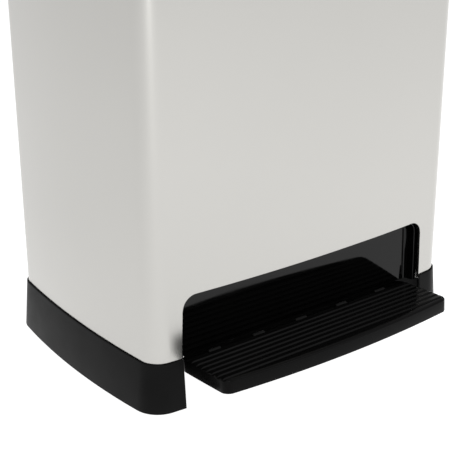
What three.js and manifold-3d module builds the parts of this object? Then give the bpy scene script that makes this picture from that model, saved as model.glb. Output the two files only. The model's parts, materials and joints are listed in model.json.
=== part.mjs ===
// A rectangular pedal trash can: a steel wrap on a black base, with a wide ribbed pedal in a recess,
// a hidden lever and lift rod, a lid hinged along the top of the back, and a lift-out bucket inside.
//
// Millimetres, +Z up, +X to the right and -Y to the front, as seen by someone facing the pedal.
// The origin is on the floor, under the middle of the box that holds the whole object.

import * as THREE from "three";
import { mergeVertices } from "three/addons/utils/BufferGeometryUtils.js";
import Module from "manifold-3d";

const wasm = await Module();
wasm.setup();

// ---------------------------------------------------------------- driving dimensions

const gap = 0.3; // between pieces that touch
const steelSheet = 0.6;
const plasticWall = 2.5;

// The body's outline: a rectangle whose four sides bow outwards, with round corners.
const bodyPlan = {
  halfX: 196.9,
  front: 132.5,
  back: 132.5,
  bowX: 8.1,
  bowFront: 10.25,
  bowBack: 10.25,
  radius: 22.5,
};
// The foot of the base, which flares out below the body.
const footPlan = {
  halfX: 202.3,
  front: 137.7,
  back: 137.7,
  bowX: 11.0,
  bowFront: 10.2,
  bowBack: 10.2,
  radius: 29.1,
};

const baseBottom = 2.5;
const deckTop = 51.5;
const deckUnder = deckTop - plasticWall;
const baseTop = 56.4;
const baseLip = 1.7; // how far the base's upper edge stands out from the steel
const shellTop = 608;
const collarTop = 612;
const lidBottom = 614;
const lidEdgeTop = 637;
const lidCrown = 648;

// The pedal's recess in the front.
const openingTop = 123.8;
const openingHalfTop = 161.5;
const openingHalfBottom = 163.5;
const openingRadius = 15;
const hemDepth = 5.5; // the steel turns in round the opening
const recessBack = -120.5; // front face of the recess's back wall
const recessWall = 2.2;
const recessRim = 3; // from the opening's sides to the recess's inside
const recessRoof = 1.7; // from the opening's top to the recess's inside

// The lever turns about this axle. It stands at restTilt when the lid is shut.
const pivotY = -15;
const pivotZ = 30;
const restTilt = THREE.MathUtils.degToRad(4.6);
const axleRadius = 4;
const leverArmX = 95;

// Pedal tread, measured from the axle along the tilted lever.
const treadHalfX = 152.5;
const treadFront = -178.6;
const treadBow = 9.6;
const treadBack = -99.3;
const treadUnder = -6.6;
const treadTop = 9.4;
const treadSkin = 3.4;
const treadEdge = 1; // height of the bevel round its lower edge
const ribCount = 7;
const ribPitch = 8.65;
const ribWidth = 4.6;
const ribHeight = 2.2;
const rearRibY = -118.1;
const lipBack = -175; // rear edge of the smooth lip, at the tread's ends
const lipBow = 4.5;
const tabPitch = 57.6;
const tabHalfX = 7.75;
const tabFront = -110.6;

// The lid's hinge axis, and the crank that the lift rod pushes.
const hingeY = 134;
const hingeZ = 620;
const hingeEarX = 110;
const hingeBarrel = 6.3;
const hingePinRadius = 2.5;
const hingePinHalf = 18.5;
const crankReach = 17.5;
const crankTilt = THREE.MathUtils.degToRad(37.5); // below level when the lid is shut
const crankNose = 3;

const liftRodY = 117.6;
const liftRodRadius = 2.5;
const channelFront = 107;
const bucketBack = 104;
const bucketFloor = 57;
const bucketTop = 604;

// Where the small pieces go.
const footX = 186;
const footY = 121;
const bracketX = 108;
const bracketScrewX = 119;
const bracketScrewY = [pivotY - 7, pivotY + 7];
const housingScrewX = [-80, 80];
const housingScrewY = -105;
const tapRadius = 1.9; // of a hole that a screw bites into
const footPlaces = [-1, 1].flatMap((sideY) => [-1, 1].map((sideX) => [sideX * footX, sideY * footY]));
const bracketPlaces = [-1, 1].flatMap((side) => bracketScrewY.map((y) => [side * bracketScrewX, y]));
const treadScrewPlaces = [-1, 1].flatMap((side) => [-150, -115].map((y) => [side * (leverArmX + 7.5), y]));
const lidBumperPlaces = [
  [-150, -133],
  [150, -133],
  [-198, 60],
  [198, 60],
];

// ---------------------------------------------------------------- solids

// A solid for cutting and joining, from a closed geometry.
function solid(geometry) {
  const bare = geometry.clone();
  bare.deleteAttribute("normal");
  bare.deleteAttribute("uv");
  const merged = mergeVertices(bare, 1e-4);
  return new wasm.Manifold(
    new wasm.Mesh({
      numProp: 3,
      vertProperties: new Float32Array(merged.attributes.position.array),
      triVerts: new Uint32Array(merged.index.array),
    }),
  );
}

function geometryOf(manifold) {
  const mesh = manifold.getMesh();
  const geometry = new THREE.BufferGeometry();
  geometry.setAttribute("position", new THREE.BufferAttribute(mesh.vertProperties, 3));
  geometry.setIndex(new THREE.BufferAttribute(mesh.triVerts, 1));
  const faceted = geometry.toNonIndexed();
  faceted.computeVertexNormals();
  return faceted;
}

const join = (...geometries) => geometryOf(geometries.map(solid).reduce((a, b) => a.add(b)));
const common = (a, b) => geometryOf(solid(a).intersect(solid(b)));

function cut(geometry, ...cutters) {
  return geometryOf(cutters.map(solid).reduce((rest, cutter) => rest.subtract(cutter), solid(geometry)));
}

// A block between two values on each axis, the x values in either order.
function box(xa, xb, y0, y1, z0, z1) {
  const x0 = Math.min(xa, xb);
  const x1 = Math.max(xa, xb);
  const geometry = new THREE.BoxGeometry(x1 - x0, y1 - y0, z1 - z0);
  return geometry.translate((x0 + x1) / 2, (y0 + y1) / 2, (z0 + z1) / 2);
}

// An upright round bar, and one that lies along X.
function barZ(radius, x, y, z0, z1, sides = 16) {
  const geometry = new THREE.CylinderGeometry(radius, radius, z1 - z0, sides);
  return geometry.rotateX(Math.PI / 2).translate(x, y, (z0 + z1) / 2);
}

function barX(radius, x0, x1, y, z, sides = 16) {
  const geometry = new THREE.CylinderGeometry(radius, radius, x1 - x0, sides);
  return geometry.rotateZ(Math.PI / 2).translate((x0 + x1) / 2, y, z);
}

// A profile of [radius, z] points turned about Z.
function turned(profile, sides = 16) {
  const points = profile.map(([radius, z]) => new THREE.Vector2(radius, z));
  return new THREE.LatheGeometry(points, sides).rotateX(Math.PI / 2);
}

// A flat outline of [y, z] points, carried along X.
function extrudeX(points, x0, x1) {
  const shape = new THREE.Shape(points.map(([y, z]) => new THREE.Vector2(y, z)));
  const geometry = new THREE.ExtrudeGeometry(shape, { depth: x1 - x0, bevelEnabled: false });
  const turn = new THREE.Matrix4().makeBasis(
    new THREE.Vector3(0, 1, 0),
    new THREE.Vector3(0, 0, 1),
    new THREE.Vector3(1, 0, 0),
  );
  return geometry.applyMatrix4(turn).translate(x0, 0, 0);
}

// A flat outline of [x, y] points, carried up Z.
function extrudeZ(points, z0, z1) {
  const shape = new THREE.Shape(points.map(([x, y]) => new THREE.Vector2(x, y)));
  return new THREE.ExtrudeGeometry(shape, { depth: z1 - z0, bevelEnabled: false }).translate(0, 0, z0);
}

// A skin through a stack of rings with equal point counts. A closed loop of rings makes a ring-shaped
// wall. Otherwise the first and last rings are filled in.
function loft(rings, closedLoop = false) {
  const count = rings[0].length;
  const points = rings.flat();
  const index = [];
  const strips = closedLoop ? rings.length : rings.length - 1;
  for (let ring = 0; ring < strips; ring++) {
    const low = ring * count;
    const high = ((ring + 1) % rings.length) * count;
    for (let here = 0; here < count; here++) {
      const next = (here + 1) % count;
      index.push(low + here, low + next, high + next, low + here, high + next, high + here);
    }
  }
  if (!closedLoop) {
    for (const ring of [0, rings.length - 1]) {
      const centre = rings[ring].reduce((sum, p) => sum.add(p), new THREE.Vector3()).divideScalar(count);
      const middle = points.push(centre) - 1;
      for (let here = 0; here < count; here++) {
        const a = ring * count + here;
        const b = ring * count + ((here + 1) % count);
        index.push(middle, ...(ring === 0 ? [b, a] : [a, b]));
      }
    }
  }
  const geometry = new THREE.BufferGeometry().setFromPoints(points);
  geometry.setIndex(index);
  geometry.computeVertexNormals();
  return geometry;
}

// ---------------------------------------------------------------- outlines

const cornerSteps = 5;
const sideSteps = 6;

// The two points that lie at distance a from p and b from q.
function meetings(p, a, q, b) {
  const between = q.clone().sub(p);
  const distance = between.length();
  const along = (a * a - b * b + distance * distance) / (2 * distance);
  const across = Math.sqrt(a * a - along * along);
  const unit = between.divideScalar(distance);
  const foot = p.clone().addScaledVector(unit, along);
  const normal = new THREE.Vector2(-unit.y, unit.x);
  return [foot.clone().addScaledVector(normal, across), foot.addScaledVector(normal, -across)];
}

// Four shallow arcs joined by round corners, counter-clockwise from the front right corner.
function outline(plan, offset = 0) {
  const halfY = (plan.front + plan.back) / 2;
  const midY = (plan.back - plan.front) / 2;
  const arc = (halfChord, bow) => (halfChord ** 2 + bow ** 2) / (2 * bow);
  const sideRadius = arc(halfY, plan.bowX);
  const radii = [arc(plan.halfX, plan.bowFront), sideRadius, arc(plan.halfX, plan.bowBack), sideRadius];
  const centres = [
    new THREE.Vector2(0, -plan.front - plan.bowFront + radii[0]),
    new THREE.Vector2(plan.halfX + plan.bowX - radii[1], midY),
    new THREE.Vector2(0, plan.back + plan.bowBack - radii[2]),
    new THREE.Vector2(-plan.halfX - plan.bowX + radii[3], midY),
  ];
  const corners = [
    new THREE.Vector2(plan.halfX, -plan.front),
    new THREE.Vector2(plan.halfX, plan.back),
    new THREE.Vector2(-plan.halfX, plan.back),
    new THREE.Vector2(-plan.halfX, -plan.front),
  ].map((corner, i) => {
    const j = (i + 1) % 4;
    const found = meetings(centres[i], radii[i] - plan.radius, centres[j], radii[j] - plan.radius);
    return found.sort((a, b) => a.distanceTo(corner) - b.distanceTo(corner))[0];
  });
  const angleTo = (centre, point) => Math.atan2(point.y - centre.y, point.x - centre.x);
  const points = [];
  const sweep = (centre, radius, start, end, steps) => {
    const turn = THREE.MathUtils.euclideanModulo(end - start, 2 * Math.PI);
    for (let step = 0; step < steps; step++) {
      const angle = start + (turn * step) / steps;
      points.push([centre.x + radius * Math.cos(angle), centre.y + radius * Math.sin(angle)]);
    }
  };
  corners.forEach((corner, i) => {
    const j = (i + 1) % 4;
    const leave = angleTo(centres[j], corner);
    sweep(corner, plan.radius + offset, angleTo(centres[i], corner), leave, cornerSteps);
    sweep(centres[j], radii[j] + offset, leave, angleTo(centres[j], corners[j]), sideSteps);
  });
  return points;
}

const atHeight = (points, z) => points.map(([x, y]) => new THREE.Vector3(x, y, z));
const scaled = (points, share) => points.map(([x, y]) => [x * share, y * share]);

// A wall that follows the outline: a closed profile of [offset, z] points, up its outer face first.
function wallAlong(plan, profile) {
  const rings = profile.map(([offset, z]) => atHeight(outline(plan, offset), z));
  return loft(rings, true);
}

// A plate or block of the outline's shape.
const block = (plan, offset, z0, z1) => loft([z0, z1].map((z) => atHeight(outline(plan, offset), z)));

// ---------------------------------------------------------------- body

// The opening's outline in the XZ plane: straight sides that lean in a little, and round top corners.
function openingPoints(inset, bottom, topInset = inset, radius = openingRadius) {
  const halfTop = openingHalfTop - inset;
  const halfBottom = openingHalfBottom - inset;
  const top = openingTop - topInset;
  const points = [
    [-halfBottom, bottom],
    [halfBottom, bottom],
  ];
  const steps = 6;
  for (const side of [1, -1]) {
    for (let step = 0; step <= steps; step++) {
      const angle = (Math.PI / 2) * (step / steps);
      const across = side > 0 ? Math.cos(angle) : Math.sin(angle);
      const up = side > 0 ? Math.sin(angle) : Math.cos(angle);
      points.push([side * (halfTop - radius + radius * across), top - radius + radius * up]);
    }
  }
  return points;
}

// Rings of [x, z] points set at a depth y, listed from back to front.
const atDepth = (points, y) => points.map(([x, z]) => new THREE.Vector3(x, y, z));

// The steel wrap, with a hem that turns in round the opening.
function bodyShell() {
  const bottom = deckTop + gap;
  const wrap = wallAlong(bodyPlan, [
    [0, bottom],
    [0, shellTop],
    [-steelSheet, shellTop],
    [-steelSheet, bottom],
  ]);
  const reaching = (inset) => {
    const points = openingPoints(inset, bottom - 10);
    return loft([atDepth(points, -100), atDepth(points, -160)]);
  };
  const hemBand = cut(
    block(bodyPlan, -0.1, bottom, openingTop + 5),
    block(bodyPlan, -hemDepth, bottom - 1, openingTop + 10),
  );
  const hem = common(hemBand, cut(reaching(-steelSheet), reaching(0)));
  return join(cut(wrap, reaching(0)), hem);
}

// The recess: a shallow box behind the steel's hem, with a flat back and narrow round corners at its
// sides, and a flange behind it that is screwed to the deck.
function pedalHousing() {
  const fillet = 4.5;
  const draft = 3;
  const bottom = deckUnder + gap;
  const frame = openingPoints(gap + 0.1, bottom);
  const filled = common(
    loft([atDepth(frame, recessBack + recessWall), atDepth(frame, -150)]),
    block(bodyPlan, -hemDepth - gap, bottom - 10, openingTop + 10),
  );
  const inside = (sideInset, topInset, radius) => openingPoints(sideInset, bottom - 10, topInset, radius);
  const steps = 4;
  const rings = [];
  for (let step = 0; step <= steps; step++) {
    const angle = (Math.PI / 2) * (step / steps);
    const sideInset = recessRim + draft + fillet * (1 - Math.sin(angle));
    const depth = recessBack - fillet * (1 - Math.cos(angle));
    rings.push(atDepth(inside(sideInset, recessRoof + draft, 10), depth));
  }
  rings.push(atDepth(inside(recessRim, recessRoof, 12), -150));
  const flangeTop = deckTop + gap + recessWall;
  const flange = box(-110, 110, recessBack + 1, -96, deckTop + gap, flangeTop);
  const screwHoles = housingScrewX.map((x) => barZ(2.1, x, housingScrewY, deckTop - 5, flangeTop + 5, 8));
  return cut(join(cut(filled, loft(rings)), flange), ...screwHoles);
}

// ---------------------------------------------------------------- base

const notchBack = -112;
const rodHoleRadius = 9;

// An upside-down tray: a flared skirt with a lip round the steel, a deck for the bucket, ribs and foot posts.
function base() {
  const skirt = loft(
    [
      atHeight(outline(footPlan, 0), baseBottom),
      atHeight(outline(bodyPlan, baseLip + 0.1), baseTop - 1),
      atHeight(outline(bodyPlan, baseLip - 0.6), baseTop),
      atHeight(outline(bodyPlan, gap), baseTop),
      atHeight(outline(bodyPlan, gap), deckTop),
      atHeight(outline(bodyPlan, -1.5), deckTop),
      atHeight(outline(bodyPlan, -1.5), deckUnder),
      atHeight(outline(footPlan, -plasticWall), baseBottom),
    ],
    true,
  );
  const deck = block(bodyPlan, -0.5, deckUnder, deckTop);
  const ribs = [-120, 0, 120].map((x) => box(x - 2, x + 2, -80, 95, deckTop - 1, bucketFloor - gap));
  const keels = [-140, 140].map((x) => box(x - 1.25, x + 1.25, -60, 128, 22, deckUnder + 1));
  const notchWalls = [-1, 1].map((side) => {
    const inner = side * openingHalfBottom;
    return box(inner, inner + side * plasticWall, -136, -60, baseBottom, deckUnder + 1);
  });
  const posts = footPlaces.map(([x, y]) => barZ(11, x, y, 5.3, deckUnder + 1, 14));
  const whole = join(skirt, deck, ...ribs, ...keels, ...notchWalls, ...posts);
  const notch = box(-openingHalfBottom, openingHalfBottom, -170, notchBack, 0, baseTop + 5);
  const footHoles = footPlaces.map(([x, y]) => barZ(4.3, x, y, 0, 18, 10));
  const screwHoles = [
    ...bracketPlaces.map(([x, y]) => barZ(tapRadius, x, y, deckUnder - 5, deckTop - 0.8, 8)),
    ...housingScrewX.map((x) => barZ(tapRadius, x, housingScrewY, deckUnder - 5, deckTop + 5, 8)),
  ];
  const rodHole = barZ(rodHoleRadius, 0, liftRodY, deckUnder - 5, deckTop + 5, 24);
  return cut(whole, notch, ...footHoles, ...screwHoles, rodHole);
}

// A rubber foot: a pad with a stem that pushes up into its post.
function rubberFoot() {
  return turned([
    [0, 0],
    [9.5, 0],
    [10.5, 1],
    [10.5, 5],
    [4, 5],
    [3.5, 15],
    [0, 15],
  ]);
}

// ---------------------------------------------------------------- lever and pedal

// The axle's saddle, hung from the deck: an upright ear with a flange for two screws.
function axleBracket(side) {
  const inner = side * (bracketX - 4);
  const top = deckUnder - gap;
  const bracket = join(
    box(inner, side * (bracketX + 4), pivotY - 11, pivotY + 11, pivotZ - 8, top),
    box(inner, side * (bracketScrewX + 6), pivotY - 14, pivotY + 14, top - plasticWall, top),
  );
  const holes = bracketPlaces.map(([x, y]) => barZ(tapRadius, x, y, top - 10, top + 10, 8));
  return cut(bracket, barX(axleRadius + gap, -150, 150, pivotY, pivotZ), ...holes);
}

function pivotAxle() {
  const half = bracketX + 10;
  return barX(axleRadius, -half, half, pivotY, pivotZ);
}

// A spring clip that snaps round the end of the axle, open on one side.
function axleClip(side) {
  const middle = side * (bracketX + 6.5);
  const ring = barX(8, middle - 0.6, middle + 0.6, pivotY, pivotZ, 20);
  const bore = barX(axleRadius + gap, middle - 3, middle + 3, pivotY, pivotZ, 20);
  const mouth = box(middle - 3, middle + 3, pivotY - 3, pivotY + 3, pivotZ - 12, pivotZ);
  return cut(ring, bore, mouth);
}

const treadPlan = {
  halfX: treadHalfX,
  front: 0,
  back: treadBack - treadFront,
  bowX: 0.4,
  bowFront: treadBow,
  bowBack: 0.4,
  radius: 10,
};

function treadRing(offset, z) {
  return atHeight(outline(treadPlan, offset), z).map((point) => point.setY(point.y + treadFront));
}

// The tread: a hollow moulding with rounded edges and a smooth front lip. Behind the lip its top is lower,
// with long ribs that run out at both ends, and small tabs along the back.
function pedalTread() {
  const floor = treadTop - ribHeight;
  const skinUnder = floor - treadSkin;
  const plate = loft([
    treadRing(-0.6, treadUnder),
    treadRing(0, treadUnder + treadEdge),
    treadRing(0, treadTop - 2.4),
    treadRing(-0.7, treadTop - 0.7),
    treadRing(-2.4, treadTop),
  ]);
  const hollow = loft([treadRing(-plasticWall, treadUnder - 1), treadRing(-plasticWall, skinUnder)]);
  const openBack = box(-130, 130, treadBack - 6, treadBack + 3, treadUnder - 1, skinUnder);

  const past = treadHalfX + 2;
  const ribY = (rib) => rearRibY - rib * ribPitch;
  const lipSteps = 12;
  const frontGroove = [
    [past, ribY(ribCount - 1) - ribWidth / 2],
    [-past, ribY(ribCount - 1) - ribWidth / 2],
  ];
  for (let step = 0; step <= lipSteps; step++) {
    const x = past * ((2 * step) / lipSteps - 1);
    frontGroove.push([x, lipBack - lipBow * (1 - (x / past) ** 2)]);
  }
  const grooves = [
    extrudeZ(frontGroove, floor, treadTop + 1),
    box(-past, past, rearRibY + ribWidth / 2, treadBack + 2, floor, treadTop + 1),
  ];
  for (let rib = 1; rib < ribCount; rib++) {
    const front = ribY(rib) + ribWidth / 2;
    grooves.push(box(-past, past, front, front + ribPitch - ribWidth, floor, treadTop + 1));
  }

  const ties = [-125, -60, 0, 60, 125].map((x) => {
    return box(x - 1, x + 1, treadFront - 2, treadBack - 1, treadUnder + 0.5, floor - 1);
  });
  const tabs = [-2, -1, 0, 1, 2].map((step) => {
    const x = step * tabPitch;
    return box(x - tabHalfX, x + tabHalfX, tabFront, tabFront + 3, floor - 1, treadTop + 0.3);
  });
  const screwHoles = treadScrewPlaces.map(([x, y]) => barZ(tapRadius, x, y, skinUnder - 1, floor - 0.6, 8));
  return cut(join(cut(plate, hollow, openBack, ...grooves), ...ties, ...tabs), ...screwHoles);
}

const leverTop = treadTop - treadSkin - ribHeight - gap;
const tailStart = liftRodY - pivotY - 9;
const tailEnd = liftRodY - pivotY + 11;
const bridgeTop = -1.5;
const leverPlate = 2.5; // thickness of its steel

// A bent steel lever: two arms that carry the tread, joined behind the axle by a bridge that lifts the rod.
function pedalLever() {
  const arms = [-1, 1].map((side) => {
    const arm = [
      [-165, -3],
      [-100, -5],
      [-12, -7],
      [12, -7],
      [tailEnd, -4.5],
      [tailEnd, 2],
      [12, 7],
      [-12, 7],
      [-90, leverTop],
      [-165, leverTop],
    ];
    const middle = side * (leverArmX + leverPlate / 2);
    return extrudeX(arm, middle - leverPlate / 2, middle + leverPlate / 2);
  });
  const flanges = [-1, 1].map((side) => {
    return box(side * leverArmX, side * (leverArmX + 14), -162, -102, leverTop - 2, leverTop);
  });
  const bridge = box(-leverArmX - 1, leverArmX + 1, tailStart, tailEnd, bridgeTop - 2.5, bridgeTop);
  const brace = box(-leverArmX - 1, leverArmX + 1, 30, 44, bridgeTop - 2.5, bridgeTop);
  const holes = treadScrewPlaces.map(([x, y]) => barZ(tapRadius, x, y, leverTop - 6, leverTop + 6, 8));
  return cut(join(...arms, ...flanges, bridge, brace), barX(axleRadius + gap, -150, 150, 0, 0), ...holes);
}

// A pan-head screw that points up, with the underside of its head at z = 0.
function screw(shankLength) {
  return turned(
    [
      [0, -1.9],
      [2.6, -1.9],
      [3.4, -0.8],
      [3.4, 0],
      [1.5, 0],
      [1.5, shankLength],
      [0, shankLength],
    ],
    8,
  );
}

// A rubber pad on the deck's underside that quiets the lever as it comes back up.
function leverStop() {
  return turned([
    [0, 0],
    [5, 0],
    [6, 1],
    [6, 3],
    [0, 3],
  ]);
}

// ---------------------------------------------------------------- lift rod and damper

const leverHere = pivotZ - Math.sin(restTilt) * (liftRodY - pivotY) + Math.cos(restTilt) * bridgeTop;
const rodFootBottom = leverHere + 1.1;
const crankRestY = hingeY - crankReach * Math.cos(crankTilt);
const crankRestZ = hingeZ - crankReach * Math.sin(crankTilt);
const rodCapTop = crankRestZ - crankNose - 0.9;
const guideFront = channelFront + 1.5 + gap;
const damperX = 14.5;
const damperBottom = 300;
const damperTop = 372;
const damperArmZ = 398;

function liftRod() {
  return barZ(liftRodRadius, 0, liftRodY, rodFootBottom + 3, rodCapTop - 3, 16);
}

// A plastic end for the rod: a round pad with a socket in it that opens towards the rod.
function rodEnd(radius, height) {
  return turned([
    [0, 0],
    [radius - 1, 0],
    [radius, 1],
    [radius, height - 2],
    [radius - 1.5, height],
    [liftRodRadius + gap, height],
    [liftRodRadius + gap, 3 - gap],
    [0, 3 - gap],
  ]);
}

// A block on the channel's front wall that the rod slides through.
function rodGuide(z) {
  const guide = box(-9, 9, guideFront, liftRodY + 8, z, z + 12);
  return cut(guide, barZ(liftRodRadius + 0.4, 0, liftRodY, z - 5, z + 20, 20));
}

// The lid's damper: a fixed cylinder, and a piston rod that the lift rod carries up.
function damperCylinder() {
  const barrel = barZ(7, damperX, liftRodY + 4, damperBottom, damperTop, 24);
  const lug = box(damperX - 5, damperX + 5, guideFront, liftRodY + 2, damperBottom + 6, damperBottom + 26);
  const bore = barZ(2.4, damperX, liftRodY + 4, damperBottom + 20, damperTop + 5, 16);
  return cut(join(barrel, lug), bore);
}

function damperRod() {
  return barZ(2, damperX, liftRodY + 4, damperBottom + 40, damperArmZ - gap, 16);
}

function damperArm() {
  const arm = box(-6, damperX + 6, liftRodY - 6, liftRodY + 8, damperArmZ, damperArmZ + 6);
  return cut(arm, barZ(liftRodRadius + gap, 0, liftRodY, damperArmZ - 5, damperArmZ + 15, 20));
}

// A folded channel inside the back of the body, which keeps the bucket off the lift rod.
function rearChannel() {
  const sheet = 1.5;
  const back = 140.3;
  const half = 26;
  const lip = 36;
  const profile = [
    [-half, channelFront],
    [half, channelFront],
    [half, back - sheet],
    [lip, back - sheet],
    [lip, back],
    [half - sheet, back],
    [half - sheet, channelFront + sheet],
    [-half + sheet, channelFront + sheet],
    [-half + sheet, back],
    [-lip, back],
    [-lip, back - sheet],
    [-half, back - sheet],
  ];
  return extrudeZ(profile, deckTop + gap, 596);
}

// ---------------------------------------------------------------- collar, hinge and lid

const stripFront = hingeY - 7.3;
const stripTop = hingeZ + 7.3;
const throatInset = 9;
const lidBack = hingeY - 8.3;

// The collar: a channel that caps the steel's upper edge, with a strip across the back that holds the hinge.
function topCollar() {
  const rim = wallAlong(bodyPlan, [
    [1.5, collarTop - 14],
    [1.5, collarTop - 1],
    [0.7, collarTop],
    [-throatInset + 0.8, collarTop],
    [-throatInset, collarTop - 0.8],
    [-throatInset, collarTop - 12],
    [-throatInset + 2, collarTop - 12],
    [-throatInset + 2, collarTop - 2.5],
    [-3, collarTop - 2.5],
    [-3, collarTop - 9],
    [-steelSheet - gap, collarTop - 9],
    [-steelSheet - gap, shellTop + gap],
    [gap, shellTop + gap],
    [gap, collarTop - 14],
  ]);
  const deck = common(
    block(bodyPlan, 0.5, collarTop - 2.5, collarTop),
    box(-250, 250, bucketBack + 1.5, 170, collarTop - 5, collarTop + 5),
  );
  const steps = 6;
  const profile = [[stripFront, collarTop - 1]];
  for (let step = steps; step >= 0; step--) {
    const angle = Math.PI / 2 + (Math.PI / 2) * (step / steps);
    profile.push([hingeY + 7.3 * Math.cos(angle), hingeZ + 7.3 * Math.sin(angle)]);
  }
  profile.push([170, stripTop], [170, collarTop - 1]);
  profile.reverse();
  const strip = common(extrudeX(profile, -250, 250), block(bodyPlan, 1.2, collarTop - 2, stripTop + 5));
  const earSlots = [-1, 1].map((side) => {
    const x = side * hingeEarX;
    return box(x - 11, x + 11, stripFront - 5, hingeY + 7.5, collarTop + 0.7, stripTop + 5);
  });
  const pinHoles = [-1, 1].map((side) => {
    const x = side * hingeEarX;
    return barX(hingePinRadius + gap, x - hingePinHalf - 0.5, x + hingePinHalf + 0.5, hingeY, hingeZ, 20);
  });
  const crankHole = box(-11, 11, liftRodY - 9.5, stripFront - 0.5, collarTop - 5, collarTop + 1);
  return cut(join(rim, deck, strip), ...earSlots, ...pinHoles, crankHole);
}

function hingePin(side) {
  const x = side * hingeEarX;
  return barX(hingePinRadius, x - hingePinHalf, x + hingePinHalf, hingeY, hingeZ, 20);
}

// The lid's crowned shape, filled in: straight sides, a rounded shoulder and a low dome.
function lidDome(inset, bottom) {
  const shoulder = 9;
  const steps = 4;
  const rings = [atHeight(outline(bodyPlan, 1 - inset), bottom)];
  for (let step = 0; step <= steps; step++) {
    const angle = (Math.PI / 2) * (step / steps);
    const inwards = shoulder * (1 - Math.cos(angle));
    const z = lidEdgeTop - inset - shoulder * (1 - Math.sin(angle));
    rings.push(atHeight(outline(bodyPlan, 1 - inset - inwards), z));
  }
  const edge = outline(bodyPlan, 1 - inset - shoulder);
  const domeRings = 4;
  for (let ring = 1; ring <= domeRings; ring++) {
    const share = 1 - ring / (domeRings + 0.4);
    const z = lidEdgeTop - inset + (lidCrown - lidEdgeTop) * (1 - share ** 2);
    rings.push(atHeight(scaled(edge, share), z));
  }
  return loft(rings);
}

function lidSkin() {
  const bottom = lidBottom + plasticWall + gap;
  const front = (back) => box(-250, 250, -200, back, bottom - 10, lidCrown + 20);
  const outside = common(lidDome(0, bottom), front(lidBack));
  const inside = common(lidDome(steelSheet, bottom - 5), front(lidBack - steelSheet));
  const earNotches = [-1, 1].map((side) => {
    const x = side * hingeEarX;
    return box(x - 10.5, x + 10.5, lidBack - 5, lidBack + 5, bottom - 5, hingeZ + hingeBarrel + 1);
  });
  return cut(outside, inside, ...earNotches);
}

// The plate under the steel, with the upstand that holds it, the hinge ears and the crank's lug.
function lidFrame() {
  const wallTop = lidBottom + 12;
  const front = (back) => box(-250, 250, -200, back, lidBottom - 10, lidCrown);
  const plate = common(block(bodyPlan, 1, lidBottom, lidBottom + plasticWall), front(lidBack));
  const inset = 1 - steelSheet - gap;
  const upstand = cut(
    common(block(bodyPlan, inset, lidBottom + 1, wallTop), front(lidBack - steelSheet - gap)),
    common(block(bodyPlan, inset - 2.2, lidBottom, wallTop + 5), front(lidBack - steelSheet - gap - 2.2)),
  );
  const steps = 10;
  const ear = [];
  for (let step = 0; step <= steps; step++) {
    const angle = -Math.PI / 2 + Math.PI * (step / steps);
    ear.push([hingeY + hingeBarrel * Math.cos(angle), hingeZ + hingeBarrel * Math.sin(angle)]);
  }
  ear.push([lidBack - 12, hingeZ + hingeBarrel], [lidBack - 12, lidBottom], [lidBack, lidBottom]);
  const ears = [-1, 1].map((side) => {
    const x = side * hingeEarX;
    return extrudeX(ear, x - 10, x + 10);
  });
  const lug = [
    [crankRestY - 5, lidBottom + 1],
    [crankRestY + 5, lidBottom + 1],
  ];
  for (let step = 0; step <= steps; step++) {
    const angle = -Math.PI * (step / steps);
    lug.push([crankRestY + crankNose * Math.cos(angle), crankRestZ + crankNose * Math.sin(angle)]);
  }
  const crank = extrudeX(lug.reverse(), -5, 5);
  const pinHoles = [-1, 1].map((side) => {
    const x = side * hingeEarX;
    return barX(hingePinRadius + gap, x - hingePinHalf - 0.5, x + hingePinHalf + 0.5, hingeY, hingeZ, 20);
  });
  const bumperHoles = lidBumperPlaces.map(([x, y]) => barZ(1.8, x, y, lidBottom - 5, lidBottom + 2, 8));
  return cut(join(plate, upstand, ...ears, crank), ...pinHoles, ...bumperHoles);
}

// A rubber bumper that lands on the collar, with a stem up into the lid's plate.
function lidBumper() {
  return turned(
    [
      [0, 0],
      [2.6, 0],
      [3.2, 0.5],
      [3.2, 1.4],
      [1.5, 1.4],
      [1.5, 3.2],
      [0, 3.2],
    ],
    8,
  );
}

// ---------------------------------------------------------------- bucket

const bucketPlan = {
  halfX: 184.5,
  front: 119.5,
  back: bucketBack - 4,
  bowX: 7.5,
  bowFront: 10,
  bowBack: 0.5,
  radius: 18,
};

// The lift-out bucket narrows downwards, and its front steps back above the deck to clear the recess.
function innerBucket() {
  const wall = 2;
  const taper = 4;
  const stepTop = 129;
  const stepY = -114.5;
  const body = (inset, floor, top) => {
    const tapered = loft([
      atHeight(outline(bucketPlan, -taper - inset), floor),
      atHeight(outline(bucketPlan, -inset), top),
    ]);
    return cut(tapered, box(-250, 250, -200, stepY + inset, 0, stepTop + inset));
  };
  const rim = wallAlong(bucketPlan, [
    [3.2, bucketTop - 6],
    [3.2, bucketTop - 1],
    [2.2, bucketTop],
    [-wall, bucketTop],
    [-wall, bucketTop - 3],
    [1.4, bucketTop - 3],
    [1.4, bucketTop - 6],
  ]);
  const walls = cut(body(0, bucketFloor, bucketTop - 1), body(wall, bucketFloor + wall, bucketTop + 5));
  return join(walls, rim);
}

// ---------------------------------------------------------------- assembly

const finishes = {
  steel: { color: 0xcfcecb, roughness: 0.38, metalness: 0.9 },
  plainSteel: { color: 0x9a9b9c, roughness: 0.35, metalness: 0.95 },
  satinBlack: { color: 0x1c1c1d, roughness: 0.45, metalness: 0 },
  glossBlack: { color: 0x0b0b0c, roughness: 0.12, metalness: 0 },
  greyPlastic: { color: 0x3a3b3d, roughness: 0.5, metalness: 0 },
  rubber: { color: 0x18181a, roughness: 0.85, metalness: 0 },
};

const can = new THREE.Group();

function add(parent, name, geometry, finish, x = 0, y = 0, z = 0) {
  const mesh = new THREE.Mesh(geometry, new THREE.MeshStandardMaterial(finishes[finish]));
  mesh.name = name;
  mesh.position.set(x, y, z);
  parent.add(mesh);
  return mesh;
}

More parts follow.
